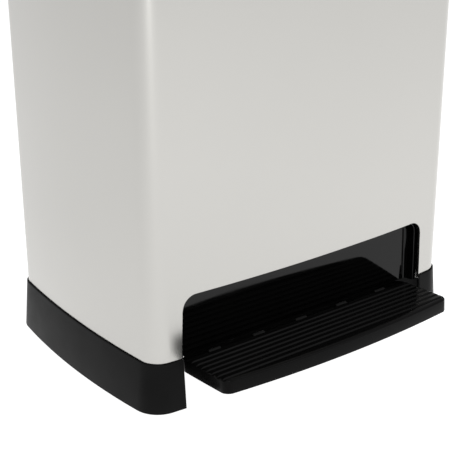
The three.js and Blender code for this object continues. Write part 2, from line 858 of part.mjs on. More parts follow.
// Everything is drawn about the body's own middle, then moved so that the whole box is centred.
const treadNose = treadUnder + treadEdge; // the height at which the tilted tread reaches furthest forward
const footprintFront = pivotY + (treadFront - treadBow) * Math.cos(restTilt) + treadNose * Math.sin(restTilt);
const footprintBack = footPlan.back + footPlan.bowBack;
const bin = new THREE.Group();
bin.position.y = -(footprintFront + footprintBack) / 2;
can.add(bin);

add(bin, "body_shell", bodyShell(), "steel");
add(bin, "base", base(), "satinBlack");
add(bin, "pedal_housing", pedalHousing(), "glossBlack");
add(bin, "top_collar", topCollar(), "satinBlack");
add(bin, "rear_channel", rearChannel(), "plainSteel");
add(bin, "inner_bucket", innerBucket(), "greyPlastic");

const cornerNames = ["front_left", "front_right", "rear_left", "rear_right"];
footPlaces.forEach(([x, y], i) => add(bin, `foot_${cornerNames[i]}`, rubberFoot(), "rubber", x, y));

add(bin, "pivot_axle", pivotAxle(), "plainSteel");
for (const [word, side] of [["left", -1], ["right", 1]]) {
  add(bin, `axle_bracket_${word}`, axleBracket(side), "satinBlack");
  add(bin, `axle_clip_${word}`, axleClip(side), "plainSteel");
  add(bin, `hinge_pin_${word}`, hingePin(side), "plainSteel");
  add(bin, `lever_stop_${word}`, leverStop(), "rubber", side * (leverArmX + 1), -60, deckUnder - gap - 3);
}
bracketPlaces.forEach(([x, y], i) => {
  add(bin, `bracket_screw_${i + 1}`, screw(4.5), "plainSteel", x, y, deckUnder - 2 * gap - plasticWall);
});
housingScrewX.forEach((x, i) => {
  const holder = add(bin, `housing_screw_${i + 1}`, screw(5.6), "plainSteel", x, housingScrewY);
  holder.position.z = deckTop + 2 * gap + recessWall;
  holder.rotation.x = Math.PI;
});

add(bin, "rod_guide_lower", rodGuide(150), "greyPlastic");
add(bin, "rod_guide_upper", rodGuide(556), "greyPlastic");
add(bin, "damper_cylinder", damperCylinder(), "satinBlack");
add(bin, "lift_rod", liftRod(), "plainSteel");
add(bin, "rod_foot", rodEnd(7, 10), "greyPlastic", 0, liftRodY, rodFootBottom);
const rodCap = add(bin, "rod_cap", rodEnd(6.5, 8), "greyPlastic", 0, liftRodY, rodCapTop);
rodCap.rotation.x = Math.PI;
add(bin, "damper_rod", damperRod(), "plainSteel");
add(bin, "damper_arm", damperArm(), "greyPlastic");

const lever = new THREE.Group();
lever.position.set(0, pivotY, pivotZ);
lever.rotation.x = -restTilt;
bin.add(lever);
add(lever, "pedal_tread", pedalTread(), "satinBlack");
add(lever, "pedal_lever", pedalLever(), "plainSteel");
treadScrewPlaces.forEach(([x, y], i) => {
  add(lever, `tread_screw_${i + 1}`, screw(4), "plainSteel", x, y, leverTop - 2 - gap);
});

add(bin, "lid_skin", lidSkin(), "steel");
add(bin, "lid_frame", lidFrame(), "satinBlack");
lidBumperPlaces.forEach(([x, y], i) => {
  add(bin, `lid_bumper_${cornerNames[i]}`, lidBumper(), "rubber", x, y, collarTop + gap);
});

export default can;
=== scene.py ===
"""The looks of a pedal trash can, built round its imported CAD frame."""

import json
import math

import bmesh
import bpy
from mathutils import Matrix, Vector


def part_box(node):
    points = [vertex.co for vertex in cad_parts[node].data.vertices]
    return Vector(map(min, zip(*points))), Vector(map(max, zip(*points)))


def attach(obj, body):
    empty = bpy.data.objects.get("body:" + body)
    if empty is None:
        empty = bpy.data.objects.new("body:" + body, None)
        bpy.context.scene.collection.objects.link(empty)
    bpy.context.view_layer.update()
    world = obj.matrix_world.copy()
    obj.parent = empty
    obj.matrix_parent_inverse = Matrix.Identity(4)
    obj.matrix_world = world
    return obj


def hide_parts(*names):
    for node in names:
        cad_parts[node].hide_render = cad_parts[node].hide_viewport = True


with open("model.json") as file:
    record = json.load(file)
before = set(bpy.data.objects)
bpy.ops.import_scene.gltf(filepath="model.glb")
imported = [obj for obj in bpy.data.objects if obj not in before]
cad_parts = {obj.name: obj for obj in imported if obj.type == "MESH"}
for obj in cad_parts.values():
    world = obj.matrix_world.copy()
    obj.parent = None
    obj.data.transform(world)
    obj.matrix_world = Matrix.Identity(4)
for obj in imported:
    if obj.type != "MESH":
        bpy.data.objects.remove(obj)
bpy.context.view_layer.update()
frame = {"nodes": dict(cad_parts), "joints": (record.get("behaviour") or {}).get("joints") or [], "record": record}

# Sizes below are in millimetres, about the upright line through the middle of the body.
MM = 0.001


def node_box(name):
    """The low and high corners of a node's box."""
    low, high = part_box(name)
    return low / MM, high / MM


def joint_point(name):
    """The point that a joint turns about."""
    joint = next(j for j in frame["joints"] if j["name"] == name)
    return Vector(joint["pos_m"]) / MM


shell_low, shell_high = node_box("body_shell")
base_low, base_high = node_box("base")
collar_low, _ = node_box("top_collar")
lid_low, lid_high = node_box("lid_skin")
bucket_low, bucket_high = node_box("inner_bucket")

MID_Y = (shell_low.y + shell_high.y) / 2
HINGE = joint_point("lid_hinge") - Vector((0, MID_Y, 0))
PIVOT = joint_point("pedal_pivot") - Vector((0, MID_Y, 0))

GAP = 0.3
SHEET = 0.6
WALL = 2.5
FEET = ["foot_front_left", "foot_front_right", "foot_rear_left", "foot_rear_right"]


def middle_of(name):
    """A node's middle, (x, y), from the upright line through the body's middle."""
    low, high = node_box(name)
    return (low.x + high.x) / 2, (low.y + high.y) / 2 - MID_Y


# ---------------------------------------------------------------- outlines


class Plan:
    """A rectangle whose sides bow outwards, with round corners."""

    def __init__(self, half_x, front, back, bow_x, bow_front, bow_back, radius):
        self.radius = radius
        half_y = (front + back) / 2
        mid_y = (back - front) / 2

        def arc(half_chord, bow):
            return (half_chord**2 + bow**2) / (2 * bow)

        self.radii = [arc(half_x, bow_front), arc(half_y, bow_x), arc(half_x, bow_back), arc(half_y, bow_x)]
        self.centres = [
            Vector((0, -front - bow_front + self.radii[0])),
            Vector((half_x + bow_x - self.radii[1], mid_y)),
            Vector((0, back + bow_back - self.radii[2])),
            Vector((-half_x - bow_x + self.radii[3], mid_y)),
        ]
        square = [(half_x, -front), (half_x, back), (-half_x, back), (-half_x, -front)]
        self.corners = []
        for i, corner in enumerate(Vector(point) for point in square):
            j = (i + 1) % 4
            found = meetings(self.centres[i], self.radii[i] - radius, self.centres[j], self.radii[j] - radius)
            self.corners.append(min(found, key=lambda p: (p - corner).length))

    def arcs(self):
        """(centre, radius, start angle, end angle, is a corner) rows, anticlockwise from the front right."""
        found = []
        for i in range(4):
            j = (i + 1) % 4
            start = angle_to(self.centres[i], self.corners[i])
            leave = angle_to(self.centres[j], self.corners[i])
            arrive = angle_to(self.centres[j], self.corners[j])
            found.append((self.corners[i], self.radius, start, start + (leave - start) % math.tau, True))
            found.append((self.centres[j], self.radii[j], leave, leave + (arrive - leave) % math.tau, False))
        return found

    def front_y(self, x, offset=0.0):
        """The y of the front at x, between its corners."""
        centre, radius = self.centres[0], self.radii[0] + offset
        return centre.y - math.sqrt(radius**2 - x**2)

    def back_y(self, x, offset=0.0):
        """The y of the back at x, corners included."""
        centre, radius = self.centres[2], self.radii[2] + offset
        corner, corner_radius = self.corners[1], self.radius + offset
        end = centre.x + radius * (corner.x - centre.x) / (corner - centre).length
        if abs(x) < end:
            return centre.y + math.sqrt(radius**2 - x**2)
        return corner.y + math.sqrt(max(0.0, corner_radius**2 - (abs(x) - corner.x) ** 2))

    def front_end(self):
        """The x at which the front meets its corner arc."""
        angle = angle_to(self.centres[0], self.corners[0])
        return self.radii[0] * math.cos(angle)


def meetings(p, a, q, b):
    """The two points at distance a from p and b from q."""
    between = q - p
    distance = between.length
    along = (a * a - b * b + distance * distance) / (2 * distance)
    across = math.sqrt(a * a - along * along)
    unit = between / distance
    normal = Vector((-unit.y, unit.x))
    foot = p + unit * along
    return [foot + normal * across, foot - normal * across]


def angle_to(centre, point):
    """The direction from centre to point."""
    return math.atan2(point.y - centre.y, point.x - centre.x)


def on_circle(centre, radius, angle):
    """The point of a circle at an angle."""
    return (centre[0] + radius * math.cos(angle), centre[1] + radius * math.sin(angle))


def spread(start, end, count):
    """count + 1 even steps from start to end."""
    return [start + (end - start) * i / count for i in range(count + 1)]


def outline(plan, offset=0.0, corner_steps=12, side_steps=24):
    """The plan's edge, moved outwards by offset."""
    points = []
    for centre, radius, start, end, corner in plan.arcs():
        steps = corner_steps if corner else side_steps
        points += [on_circle(centre, radius + offset, angle) for angle in spread(start, end, steps)[:-1]]
    return points


def open_outline(plan, offset, cut_x, corner_steps=12, side_steps=24):
    """The outline without the middle of its front: from x = cut_x round the back to x = -cut_x."""
    arcs = plan.arcs()
    centre, radius = plan.centres[0], plan.radii[0]
    cut = math.acos(cut_x / (radius + offset))

    def front_stretch(start, end):
        end = start + ((end - start + math.pi) % math.tau - math.pi)
        return [on_circle(centre, radius + offset, angle) for angle in spread(start, end, 6)]

    points = front_stretch(-cut, arcs[0][2])[:-1]
    for middle, size, start, end, corner in arcs[:7]:
        steps = corner_steps if corner else side_steps
        points += [on_circle(middle, size + offset, angle) for angle in spread(start, end, steps)[:-1]]
    return points + front_stretch(arcs[7][2], math.pi + cut)


def even_plan(half_x, half_y, bow_x, bow_y, radius):
    """A plan that is the same in front and behind, from its outer half sizes."""
    return Plan(half_x - bow_x, half_y - bow_y, half_y - bow_y, bow_x, bow_y, bow_y, radius)


BODY = even_plan(shell_high.x, (shell_high.y - shell_low.y) / 2, bow_x=8.1, bow_y=10.25, radius=22.5)
FOOT = even_plan(base_high.x, base_high.y - MID_Y, bow_x=11.0, bow_y=10.2, radius=29.1)


# ---------------------------------------------------------------- meshes


def at_height(points, z):
    return [(x, y, z) for x, y in points]


def quarter(radius, steps):
    """(inwards, up) steps round a quarter circle, from a wall to a top."""
    angles = spread(0, math.pi / 2, steps)
    return [(radius * (1 - math.cos(angle)), radius * math.sin(angle)) for angle in angles]


def make(name, points, faces, sharp=40.0):
    """A mesh object from points in millimetres about the body's middle."""
    mesh = bpy.data.meshes.new(name)
    mesh.from_pydata([(x * MM, (y + MID_Y) * MM, z * MM) for x, y, z in points], [], faces)
    bm = bmesh.new()
    bm.from_mesh(mesh)
    bmesh.ops.remove_doubles(bm, verts=bm.verts, dist=1e-6)
    bmesh.ops.recalc_face_normals(bm, faces=bm.faces)
    bm.to_mesh(mesh)
    bm.free()
    mesh.polygons.foreach_set("use_smooth", [True] * len(mesh.polygons))
    mesh.set_sharp_from_angle(angle=math.radians(sharp))
    piece = bpy.data.objects.new(name, mesh)
    bpy.context.scene.collection.objects.link(piece)
    return piece


def loft_faces(rings, closed_loop=False, closed_ring=True, caps=True, start=0):
    """Quads through a stack of rings with equal point counts, and filled ends."""
    count = len(rings[0])
    faces = []
    strips = len(rings) if closed_loop else len(rings) - 1
    spans = count if closed_ring else count - 1
    for ring in range(strips):
        low = start + ring * count
        high = start + (ring + 1) % len(rings) * count
        for here in range(spans):
            after = (here + 1) % count
            faces.append((low + here, low + after, high + after, high + here))
    if caps and closed_ring and not closed_loop:
        faces.append(tuple(start + i for i in reversed(range(count))))
        faces.append(tuple(start + (len(rings) - 1) * count + i for i in range(count)))
    if caps and not closed_ring and closed_loop:
        faces.append(tuple(start + ring * count for ring in range(len(rings))))
        faces.append(tuple(start + ring * count + count - 1 for ring in reversed(range(len(rings)))))
    return faces


class Solids:
    """Points and faces of several solids that make one piece."""

    def __init__(self):
        self.points = []
        self.faces = []

    def loft(self, rings, **options):
        self.faces += loft_faces(rings, start=len(self.points), **options)
        for ring in rings:
            self.points += ring

    def box(self, x0, x1, y0, y1, z0, z1):
        low = [(x0, y0, z0), (x1, y0, z0), (x1, y1, z0), (x0, y1, z0)]
        self.loft([low, [(x, y, z1) for x, y, _ in low]])

    def turned(self, profile, x=0.0, y=0.0, z=0.0, sides=32):
        """A solid turned about an upright line, from (radius, height) points."""
        around = [(math.cos(math.tau * i / sides), math.sin(math.tau * i / sides)) for i in range(sides)]
        self.loft([[(x + r * c, y + r * s, z + up) for c, s in around] for r, up in profile])

    def bar_z(self, radius, x, y, z0, z1, sides=32):
        ring = [on_circle((x, y), radius, math.tau * i / sides) for i in range(sides)]
        self.loft([at_height(ring, z0), at_height(ring, z1)])

    def made(self, name, **options):
        """The mesh object of these solids."""
        return make(name, self.points, self.faces, **options)


def place(piece, body, slot, material, *nodes):
    """Gives a piece its body and material, and hides the CAD nodes that it stands for."""
    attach(piece, body)
    if nodes:
        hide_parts(*nodes)
    piece.data.materials.clear()
    piece.data.materials.append(material)
    return piece


def soften(piece, width, segments=2, angle=40.0):
    """Rounds a piece's edges, width millimetres wide."""
    bevel = piece.modifiers.new("edges", "BEVEL")
    bevel.width = width * MM
    bevel.segments = segments
    bevel.limit_method = "ANGLE"
    bevel.angle_limit = math.radians(angle)
    bevel.harden_normals = True
    return piece


def subtract(piece, cutter):
    """Cuts one mesh piece by another, and removes the cutter."""
    cutting = piece.modifiers.new("cut", "BOOLEAN")
    cutting.object = cutter
    cutting.operation = "DIFFERENCE"
    cutting.solver = "EXACT"
    bpy.context.view_layer.update()
    cut_mesh = bpy.data.meshes.new_from_object(piece.evaluated_get(bpy.context.evaluated_depsgraph_get()))
    piece.modifiers.remove(cutting)
    old = piece.data
    piece.data = cut_mesh
    bpy.data.meshes.remove(old)
    bpy.data.objects.remove(cutter)
    return piece


# ---------------------------------------------------------------- materials


class Nodes:
    """A material's node tree, with the surface shader's sockets at hand."""

    def __init__(self, name):
        self.material = bpy.data.materials.new(name)
        self.material.use_nodes = True
        self.tree = self.material.node_tree
        self.shader = self.tree.nodes["Principled BSDF"]
        self.coordinates = self.tree.nodes.new("ShaderNodeTexCoord")

    def set(self, **values):
        """Sets shader sockets, named with underscores for spaces."""
        for socket, value in values.items():
            self.shader.inputs[socket.replace("_", " ")].default_value = value

    def noise(self, scale, detail=4.0, roughness=0.55, stretch=(1, 1, 1)):
        mapping = self.tree.nodes.new("ShaderNodeMapping")
        mapping.inputs["Scale"].default_value = stretch
        noise = self.tree.nodes.new("ShaderNodeTexNoise")
        noise.inputs["Scale"].default_value = scale
        noise.inputs["Detail"].default_value = detail
        noise.inputs["Roughness"].default_value = roughness
        self.tree.links.new(self.coordinates.outputs["Object"], mapping.inputs["Vector"])
        self.tree.links.new(mapping.outputs["Vector"], noise.inputs["Vector"])
        return noise.outputs["Fac"]

    def ramp(self, factor, low, high, start=0.3, end=0.7):
        """Colours or shades from low to high as factor goes from start to end."""
        ramp = self.tree.nodes.new("ShaderNodeValToRGB")
        ramp.color_ramp.elements[0].position = start
        ramp.color_ramp.elements[1].position = end
        ramp.color_ramp.elements[0].color = colour(low)
        ramp.color_ramp.elements[1].color = colour(high)
        self.tree.links.new(factor, ramp.inputs["Fac"])
        return ramp.outputs["Color"]

    def maths(self, operation, vector, other=(0, 0, 0)):
        """A number from one or two vectors."""
        node = self.tree.nodes.new("ShaderNodeVectorMath")
        node.operation = operation
        self.tree.links.new(vector, node.inputs[0])
        node.inputs[1].default_value = other
        return node.outputs["Value"]

    def mapped(self, value, source, target):
        """value, with the range source stretched onto the range target."""
        node = self.tree.nodes.new("ShaderNodeMapRange")
        node.inputs["From Min"].default_value, node.inputs["From Max"].default_value = source
        node.inputs["To Min"].default_value, node.inputs["To Max"].default_value = target
        self.tree.links.new(value, node.inputs["Value"])
        return node.outputs["Result"]

    def product(self, first, second):
        node = self.tree.nodes.new("ShaderNodeMath")
        node.operation = "MULTIPLY"
        self.tree.links.new(first, node.inputs[0])
        self.tree.links.new(second, node.inputs[1])
        return node.outputs["Value"]

    def link(self, output, socket):
        self.tree.links.new(output, self.shader.inputs[socket])

    def bump(self, height, strength, distance):
        """distance is in millimetres."""
        bump = self.tree.nodes.new("ShaderNodeBump")
        bump.inputs["Strength"].default_value = strength
        bump.inputs["Distance"].default_value = distance * MM
        self.tree.links.new(height, bump.inputs["Height"])
        if self.shader.inputs["Normal"].is_linked:
            self.tree.links.new(self.shader.inputs["Normal"].links[0].from_socket, bump.inputs["Normal"])
        self.tree.links.new(bump.outputs["Normal"], self.shader.inputs["Normal"])


def colour(value):
    """A grey or an RGB colour as RGBA."""
    if isinstance(value, (int, float)):
        return (value, value, value, 1.0)
    return (*value, 1.0)


def steel(name, tone, roughness, along):
    """Satin sheet: a soft drift of tone, a fine grain along the sheet, and a little haze."""
    n = Nodes(name)
    n.set(Metallic=1.0)
    drift = n.noise(2.3, detail=2.0)
    dim = tuple(c * 0.965 for c in tone)
    n.link(n.ramp(drift, dim, tone), "Base Color")
    haze = n.noise(9.0, detail=3.0)
    n.link(n.ramp(haze, roughness - 0.025, roughness + 0.025), "Roughness")
    grain = n.noise(260.0, detail=2.0, stretch=along)
    n.bump(grain, 0.12, 0.02)
    return n.material


def moulded(name, tone, roughness, specular, texture=0.25, texture_scale=700.0):
    """Satin plastic with a fine moulded texture and faint uneven sheen."""
    n = Nodes(name)
    n.set(Specular_IOR_Level=specular)
    drift = n.noise(14.0, detail=3.0)
    n.link(n.ramp(drift, tuple(c * 0.8 for c in tone), tuple(c * 1.2 for c in tone)), "Base Color")
    n.link(n.ramp(n.noise(38.0), roughness - 0.04, roughness + 0.04), "Roughness")
    n.bump(n.noise(texture_scale, detail=2.0), texture, 0.05)
    return n.material


def polished(name, tone, roughness, specular):
    """Gloss plastic with the slight waviness of a mould."""
    n = Nodes(name)
    n.set(Specular_IOR_Level=specular)
    n.link(n.ramp(n.noise(20.0), tuple(c * 0.8 for c in tone), tone), "Base Color")
    n.link(n.ramp(n.noise(30.0), roughness - 0.015, roughness + 0.02), "Roughness")
    n.bump(n.noise(7.0, detail=1.0), 0.05, 0.5)
    return n.material


def plated(name, tone, roughness):
    """Zinc-plated steel with a mottled sheen."""
    n = Nodes(name)
    n.set(Metallic=1.0)
    spangle = n.noise(120.0, detail=3.0)
    n.link(n.ramp(spangle, tuple(c * 0.86 for c in tone), tone), "Base Color")
    n.link(n.ramp(n.noise(60.0), roughness - 0.06, roughness + 0.06), "Roughness")
    n.bump(n.noise(500.0, detail=2.0), 0.15, 0.03)
    return n.material


WRAP_STEEL = steel("wrap_steel", (0.475, 0.468, 0.449), 0.22, along=(0.06, 0.06, 9.0))
LID_STEEL = steel("lid_steel", (0.475, 0.468, 0.449), 0.24, along=(0.06, 9.0, 0.06))
BASE_BLACK = moulded("base_black", (0.0048, 0.0048, 0.0048), 0.36, 0.042)
PEDAL_BLACK = moulded("pedal_black", (0.0019, 0.0019, 0.0019), 0.23, 0.055)
TAB_BLACK = moulded("pedal_tab_black", (0.0035, 0.0035, 0.0035), 0.32, 0.08)
RECESS_BLACK = polished("recess_black", (0.001, 0.001, 0.001), 0.05, 0.2)
COLLAR_BLACK = moulded("collar_black", (0.004, 0.004, 0.004), 0.38, 0.28)
BUCKET_GREY = moulded("bucket_grey", (0.045, 0.047, 0.05), 0.5, 0.4, texture_scale=420.0)
MECHANISM_GREY = moulded("mechanism_grey", (0.11, 0.11, 0.115), 0.45, 0.4)
MECHANISM_STEEL = plated("mechanism_steel", (0.56, 0.56, 0.57), 0.36)
FOOT_RUBBER = moulded("foot_rubber", (0.008, 0.008, 0.008), 0.75, 0.2, texture=0.5, texture_scale=500.0)


# ---------------------------------------------------------------- body shell

OPENING_TOP = 123.8
OPENING_HALF_TOP = 161.5
OPENING_HALF_BOTTOM = 163.5
OPENING_RADIUS = 15.0
HEM_DEPTH = 5.5


def opening_edge(bottom, side_rows, arc_steps, top_columns):
    """The opening's edge, clockwise from the bottom left, as (x, z, outward x, outward z) rows."""
    lean = (OPENING_HALF_BOTTOM - OPENING_HALF_TOP) / (OPENING_TOP - bottom)
    side = [(-OPENING_HALF_TOP - lean * (OPENING_TOP - z), z, -1.0, 0.0) for z in side_rows]
    centre_x = -OPENING_HALF_TOP + OPENING_RADIUS
    centre_z = OPENING_TOP - OPENING_RADIUS
    arc = []
    for angle in spread(math.pi, math.pi / 2, arc_steps)[1:]:
        x, z = on_circle((centre_x, centre_z), OPENING_RADIUS, angle)
        arc.append((x, z, math.cos(angle), math.sin(angle)))
    top = [(x, OPENING_TOP, 0.0, 1.0) for x in top_columns if centre_x + 1e-6 < x <= 1e-6]
    left = side + arc + top
    right = [(-x, z, -nx, nz) for x, z, nx, nz in reversed(left[:-1])]
    return left + right


def body_shell():
    """The steel wrap: quads round a rolled-in opening, with its own thin wall."""
    bottom, top = shell_low.z, shell_high.z
    reach = 34.0
    split_z = OPENING_TOP + reach
    frame_x = BODY.front_end() - 2.0
    straight_z = OPENING_TOP - OPENING_RADIUS
    arc_half = 6
    side_rows = [bottom] + spread(bottom + 0.3, straight_z, 10)
    corner_rows = spread(straight_z, split_z, arc_half)[1:]
    lower_rows = side_rows + corner_rows
    upper_rows = spread(split_z, top - 0.3, 20) + [top]
    straight_x = OPENING_HALF_TOP - OPENING_RADIUS
    top_columns = spread(-straight_x, straight_x, 36)
    corner_columns = spread(-frame_x, -straight_x, arc_half)[:-1]
    columns = corner_columns + top_columns + [-x for x in reversed(corner_columns)]

    def on_front(x, z, inwards=0.0):
        return (x, BODY.front_y(x) + inwards, z)

    solids = Solids()

    def grid(rows):
        solids.loft(rows, closed_ring=False, caps=False)

    # The rest of the way round, from the right end of the front to its left end.
    around = [(frame_x, BODY.front_y(frame_x))]
    for centre, radius, start, end, corner in BODY.arcs()[:7]:
        steps = 14 if corner else 30
        around += [on_circle(centre, radius, angle) for angle in spread(start, end, steps)[:-1]]
    around += [(-BODY.front_end(), BODY.front_y(BODY.front_end())), (-frame_x, BODY.front_y(frame_x))]
    all_rows = lower_rows + upper_rows[1:]
    grid([at_height(around, z) for z in all_rows])
    grid([[on_front(x, z) for x in columns] for z in upper_rows])

    # The frame between the opening's rolled edge and the straight rows and columns round it.
    edge = opening_edge(bottom, side_rows, 2 * arc_half, top_columns)
    outer = [(-frame_x, z) for z in lower_rows]
    outer += [(x, split_z) for x in columns[1:-1]]
    outer += [(frame_x, z) for z in reversed(lower_rows)]
    roll = 0.8
    rings = []
    for share in (1.0, 0.7, 0.45, 0.25, 0.12, 0.05, 0.015, 0.0):
        ring = []
        for (x, z, nx, nz), (far_x, far_z) in zip(edge, outer):
            near_x, near_z = x + nx * roll, z + nz * roll
            ring.append(on_front(near_x + (far_x - near_x) * share, near_z + (far_z - near_z) * share))
        rings.append(ring)
    for back, in_from_roll in quarter(roll, 4)[1:]:
        out = roll - in_from_roll
        rings.append([on_front(x + nx * out, z + nz * out, back) for x, z, nx, nz in edge])
    rings.append([on_front(x, z, HEM_DEPTH) for x, z, nx, nz in edge])
    grid(rings)

    piece = solids.made("steel_wrap", sharp=60.0)
    wall = piece.modifiers.new("sheet", "SOLIDIFY")
    wall.thickness = SHEET * MM
    wall.offset = -1.0
    return place(piece, "bin", "wrap_steel", WRAP_STEEL, "body_shell")


def rear_seam():
    """The lock seam where the wrap's two ends meet, down the middle of the back."""
    half = 5.0
    rise = 0.7
    # Across the seam: (x, how far it stands out of the steel).
    profile = [(-half, -0.2), (-half + 0.8, rise), (half - 1.2, rise)]
    profile += [(half - 0.6, 0.1), (half, 0.1), (half, -0.2)]
    solids = Solids()
    heights = spread(base_high.z + 0.5, collar_low.z - 0.5, 12)
    solids.loft([[(x, BODY.back_y(x) + out, z) for x, out in profile] for z in heights])
    place(solids.made("lock_seam", sharp=50.0), "bin", "wrap_steel", WRAP_STEEL)


# ---------------------------------------------------------------- base


def base_skirt(solids):
    """The flared skirt, open at the pedal, with a rolled lip against the steel."""
    lip = base_high.z
    foot = base_low.z
    steel_seat = shell_low.z - GAP
    rings = []

    def ring(plan, offset, z):
        rings.append(at_height(open_outline(plan, offset, OPENING_HALF_BOTTOM), z))

    ring(FOOT, -0.5, foot)
    ring(FOOT, -0.1, foot + 0.15)
    ring(FOOT, 0.0, foot + 0.6)
    # Between the foot and the lip the skirt is straight from one outline to the other.
    ring(BODY, 1.8, lip - 1.2)
    for inwards, up in quarter(0.9, 4)[1:]:
        ring(BODY, 1.8 - inwards, lip - 0.9 + up)
    ring(BODY, 0.75, lip)
    ring(BODY, 0.45, lip - 0.3)
    ring(BODY, GAP, lip - 1.4)
    ring(BODY, GAP, steel_seat)
    ring(BODY, -1.5, steel_seat)
    ring(BODY, -1.5, steel_seat - WALL)
    ring(FOOT, -WALL, foot)
    solids.loft(rings, closed_loop=True, closed_ring=False)


def base():
    """The base's skirt with the walls, ribs and foot posts inside it, and the deck as a piece of its own."""
    solids = Solids()
    base_skirt(solids)
    deck_top = shell_low.z - GAP
    deck_under = deck_top - WALL
    wall_front, wall_back = -136, -60
    rib_x, rib_back, rib_under = 140, 120, 22
    for side in (-1, 1):
        inner = side * OPENING_HALF_BOTTOM
        outer = side * (OPENING_HALF_BOTTOM + WALL)
        left, right = sorted((inner, outer))
        solids.box(left, right, wall_front, wall_back, base_low.z, deck_under + 1)
        middle = side * rib_x
        solids.box(middle - WALL / 2, middle + WALL / 2, wall_back, rib_back, rib_under, deck_under + 1)
    # The bucket stands on three ribs on the deck.
    for x in (-120, 0, 120):
        solids.box(x - 2, x + 2, -80, 95, deck_top - 1, bucket_low.z - GAP)
    foot_post, post_under = 11, 5.3
    for name in FEET:
        solids.bar_z(foot_post, *middle_of(name), post_under, deck_under + 1, 40)
    place(soften(solids.made("base_moulding", sharp=35.0), 0.5), "bin", "base_black", BASE_BLACK, "base")

    notch_back = -112.0
    rod_hole_radius = 9
    line = open_outline(BODY, -0.5, OPENING_HALF_BOTTOM)
    line += [(-OPENING_HALF_BOTTOM, notch_back), (OPENING_HALF_BOTTOM, notch_back)]
    deck, rod_hole = Solids(), Solids()
    deck.loft([at_height(line, deck_under), at_height(line, deck_top)])
    rod_hole.bar_z(rod_hole_radius, *middle_of("lift_rod"), deck_under - 5, deck_top + 5, 40)
    holed = subtract(deck.made("base_deck"), rod_hole.made("rod_hole"))
    place(soften(holed, 0.5), "bin", "base_black", BASE_BLACK)


# ---------------------------------------------------------------- recess liner

RECESS_BACK = -120.5
RECESS_WALL = 2.2
RECESS_RIM = 4.2
RECESS_ROOF = 1.7
RIM_SETBACK = HEM_DEPTH + GAP


def opening_ring(side_inset, top_inset, radius, bottom):
    """(x, z) round an inset copy of the opening, from the bottom left to the bottom right."""
    half_top = OPENING_HALF_TOP - side_inset
    half_bottom = OPENING_HALF_BOTTOM - side_inset
    top = OPENING_TOP - top_inset
    left = []
    for z in spread(bottom, top - radius, 6):
        share = (z - bottom) / (top - bottom)
        left.append((-(half_bottom + (half_top - half_bottom) * share), z))
    corner = (-half_top + radius, top - radius)
    left += [on_circle(corner, radius, angle) for angle in spread(math.pi, math.pi / 2, 10)[1:]]
    left += [(x, top) for x in spread(-half_top + radius, 0, 12)[1:]]
    return left + [(-x, z) for x, z in reversed(left[:-1])]


def pedal_housing():
    """A polished box with a flat back and narrow round corners, and a rim just behind the steel's face."""
    bottom = 49.3
    edge = GAP + 0.1
    fillet = 4.5
    draft = 1.8

    def at_depth(side_inset, top_inset, radius, depth):
        return [(x, depth, z) for x, z in opening_ring(side_inset, top_inset, radius, bottom)]

    def at_front(side_inset, top_inset, radius, behind):
        points = opening_ring(side_inset, top_inset, radius, bottom)
        return [(x, BODY.front_y(x) + RIM_SETBACK + behind, z) for x, z in points]

    rings = []
    for in_from_wall, along in quarter(fillet, 12):
        side = RECESS_RIM + draft + fillet - along
        rings.append(at_depth(side, RECESS_ROOF + draft, 10, RECESS_BACK - in_from_wall))
    rings.append(at_front(RECESS_RIM, RECESS_ROOF, 12, 0.4))
    for out, back in ((0.1, 0.15), (0.35, 0.0)):
        rings.append(at_front(RECESS_RIM - out, RECESS_ROOF - out, 12 + out, back))
    rings.append(at_front(edge + 0.3, edge + 0.3, 14.6, 0.0))
    rings.append(at_front(edge, edge, 14.8, 0.3))
    rings.append(at_depth(edge, edge, 14.8, RECESS_BACK + RECESS_WALL))
    solids = Solids()
    solids.loft(rings, closed_ring=False, caps=False)
    # The back wall, the face against the body, and the underside close it.
    count = len(rings[0])
    last = (len(rings) - 1) * count
    solids.faces.append(tuple(range(count)))
    solids.faces.append(tuple(reversed(range(last, last + count))))
    foot_ring = [ring * count for ring in range(len(rings))]
    solids.faces.append(tuple(foot_ring + [i + count - 1 for i in reversed(foot_ring)]))
    place(solids.made("recess_liner", sharp=50.0), "bin", "recess_black", RECESS_BLACK, "pedal_housing")
    half, back = 110, -96
    flange = Solids()
    flange.box(-half, half, RECESS_BACK + 1, back, shell_low.z, shell_low.z + RECESS_WALL)
    place(soften(flange.made("recess_flange"), 0.5), "bin", "recess_black", RECESS_BLACK)


# ---------------------------------------------------------------- pedal tread

TILT = math.radians(4.6)


def from_lever(x, y, z):
    """A point measured along the tilted lever from its axle, in the body's frame."""
    return (
        x,
        PIVOT.y + y * math.cos(TILT) + z * math.sin(TILT),
        PIVOT.z - y * math.sin(TILT) + z * math.cos(TILT),
    )


TREAD_HALF = 152.5
TREAD_FRONT = -178.6
TREAD_BOW = 9.6
TREAD_BACK = -99.3
TREAD_UNDER = -6.6
TREAD_TOP = 9.4
TREAD_SKIN = 3.4
RIB_COUNT = 7
RIB_PITCH = 8.65
RIB_WIDTH = 4.6
RIB_HEIGHT = 2.2
REAR_RIB_Y = -118.1
LIP_BACK = -175.0
LIP_BOW = 4.5
TAB_PITCH = 57.6
TAB_HALF = 7.75
TAB_FRONT = -110.6
TREAD = Plan(TREAD_HALF, 0.0, TREAD_BACK - TREAD_FRONT, 0.4, TREAD_BOW, 0.4, 10.0)


def tread_ring(offset, z):
    """The tread's edge, moved outwards by offset, at a height."""
    return [(x, y + TREAD_FRONT, z) for x, y in outline(TREAD, offset, 10, 40)]


def on_lever(solids, name, **options):
    """The mesh object of solids that are measured along the lever."""
    return make(name, [from_lever(*point) for point in solids.points], solids.faces, **options)


